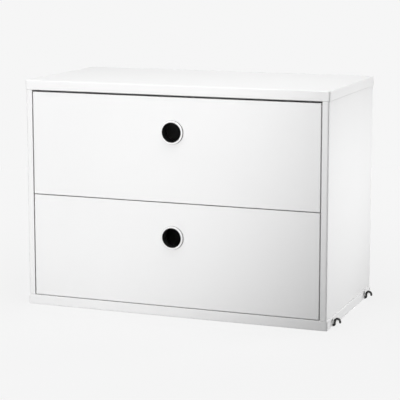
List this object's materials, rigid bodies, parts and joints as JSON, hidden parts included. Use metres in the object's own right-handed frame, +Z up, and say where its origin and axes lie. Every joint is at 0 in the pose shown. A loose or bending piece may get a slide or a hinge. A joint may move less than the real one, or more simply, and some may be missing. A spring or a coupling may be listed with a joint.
{
  "type": "drawer cabinet",
  "caption": "Low white lacquered chest with inset drawers on ball-bearing runners, ringed finger holes and wire hooks that hang it on ladder rungs.",
  "frame": {"origin": "middle of the underside of the bottom board", "axes": "+Z up, the drawers open towards -Y, +X to the right as seen from the front"},
  "size_m": [0.6092, 0.304, 0.42],
  "materials": {
    "lacquer": "semi-gloss white lacquer on fibreboard",
    "drawer_panel": "satin white melamine",
    "ring_plastic": "moulded white plastic",
    "hook_metal": "dark grey coated steel wire",
    "runner_steel": "zinc-plated sheet",
    "cage_steel": "plain pressed sheet",
    "screw_steel": "zinc-plated",
    "dowel_wood": "plain beech",
    "stop_rubber": "matt rubber"
  },
  "bodies": {
    "carcass": {"top_board": "lacquer", "bottom_board": "lacquer", "left_side": "lacquer", "right_side": "lacquer", "back_panel": "lacquer", "carcass_dowels": "dowel_wood", "cabinet_rail_screws": "screw_steel", "left_front_hook": "hook_metal", "left_rear_hook": "hook_metal", "right_front_hook": "hook_metal", "right_rear_hook": "hook_metal", "lower_rail_stops": "stop_rubber", "lower_left_cabinet_rail": "runner_steel", "lower_right_cabinet_rail": "runner_steel", "upper_rail_stops": "stop_rubber", "upper_left_cabinet_rail": "runner_steel", "upper_right_cabinet_rail": "runner_steel"},
    "lower_drawer": {"lower_front": "lacquer", "lower_grip_ring": "ring_plastic", "lower_left_wall": "drawer_panel", "lower_right_wall": "drawer_panel", "lower_back_wall": "drawer_panel", "lower_bottom": "drawer_panel", "lower_dowels": "dowel_wood", "lower_rail_screws": "screw_steel", "lower_left_drawer_rail": "runner_steel", "lower_right_drawer_rail": "runner_steel"},
    "lower_outer_cages": {"lower_left_outer_cage": "cage_steel", "lower_right_outer_cage": "cage_steel"},
    "lower_middle_rails": {"lower_left_middle_rail": "runner_steel", "lower_right_middle_rail": "runner_steel"},
    "lower_inner_cages": {"lower_left_inner_cage": "cage_steel", "lower_right_inner_cage": "cage_steel"},
    "upper_drawer": {"upper_front": "lacquer", "upper_grip_ring": "ring_plastic", "upper_left_wall": "drawer_panel", "upper_right_wall": "drawer_panel", "upper_back_wall": "drawer_panel", "upper_bottom": "drawer_panel", "upper_dowels": "dowel_wood", "upper_rail_screws": "screw_steel", "upper_left_drawer_rail": "runner_steel", "upper_right_drawer_rail": "runner_steel"},
    "upper_outer_cages": {"upper_left_outer_cage": "cage_steel", "upper_right_outer_cage": "cage_steel"},
    "upper_middle_rails": {"upper_left_middle_rail": "runner_steel", "upper_right_middle_rail": "runner_steel"},
    "upper_inner_cages": {"upper_left_inner_cage": "cage_steel", "upper_right_inner_cage": "cage_steel"}
  },
  "joints": [
    {"name": "lower_drawer_slide", "type": "slide", "parent": "carcass", "child": "lower_drawer", "axis": [0, -1, 0], "range_m": [0, 0.24]},
    {"name": "lower_outer_cages_slide", "type": "slide", "parent": "carcass", "child": "lower_outer_cages", "axis": [0, -1, 0], "range_m": [0, 0.06]},
    {"name": "lower_middle_rails_slide", "type": "slide", "parent": "carcass", "child": "lower_middle_rails", "axis": [0, -1, 0], "range_m": [0, 0.12]},
    {"name": "lower_inner_cages_slide", "type": "slide", "parent": "carcass", "child": "lower_inner_cages", "axis": [0, -1, 0], "range_m": [0, 0.18]},
    {"name": "upper_drawer_slide", "type": "slide", "parent": "carcass", "child": "upper_drawer", "axis": [0, -1, 0], "range_m": [0, 0.24]},
    {"name": "upper_outer_cages_slide", "type": "slide", "parent": "carcass", "child": "upper_outer_cages", "axis": [0, -1, 0], "range_m": [0, 0.06]},
    {"name": "upper_middle_rails_slide", "type": "slide", "parent": "carcass", "child": "upper_middle_rails", "axis": [0, -1, 0], "range_m": [0, 0.12]},
    {"name": "upper_inner_cages_slide", "type": "slide", "parent": "carcass", "child": "upper_inner_cages", "axis": [0, -1, 0], "range_m": [0, 0.18]}
  ],
  "couplings": [
    {"joint": "lower_outer_cages_slide", "follows": "lower_drawer_slide", "ratio": 0.25},
    {"joint": "lower_middle_rails_slide", "follows": "lower_drawer_slide", "ratio": 0.5},
    {"joint": "lower_inner_cages_slide", "follows": "lower_drawer_slide", "ratio": 0.75},
    {"joint": "upper_outer_cages_slide", "follows": "upper_drawer_slide", "ratio": 0.25},
    {"joint": "upper_middle_rails_slide", "follows": "upper_drawer_slide", "ratio": 0.5},
    {"joint": "upper_inner_cages_slide", "follows": "upper_drawer_slide", "ratio": 0.75}
  ]
}
